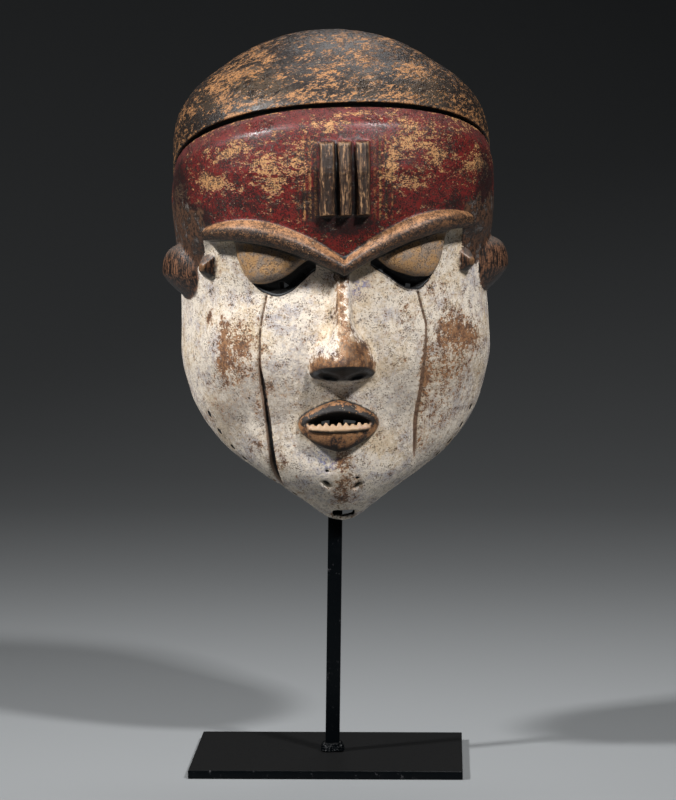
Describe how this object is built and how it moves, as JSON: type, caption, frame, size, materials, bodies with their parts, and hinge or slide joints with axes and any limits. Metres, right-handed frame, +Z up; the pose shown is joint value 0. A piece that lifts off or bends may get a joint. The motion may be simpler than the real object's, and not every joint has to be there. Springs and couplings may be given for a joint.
{
  "type": "pende mask",
  "caption": "Carved and painted wooden face mask with half-closed eyes, a V-shaped brow and a cap, hollow and open at the back, carried on a black steel bar and square plate.",
  "frame": {"origin": "centre of the stand plate's underside", "axes": "+Z up, the face looks along -Y, +X to the viewer's right"},
  "size_m": [0.1966, 0.1665, 0.4166],
  "materials": {
    "painted_wood": "carved wood, worn dark brown cap, dark red forehead and white kaolin face with brown stains, matt to satin",
    "black_steel": "satin black paint"
  },
  "bodies": {
    "root": {"mask": "painted_wood", "stand_post": "black_steel", "stand_base": "black_steel"}
  },
  "joints": []
}
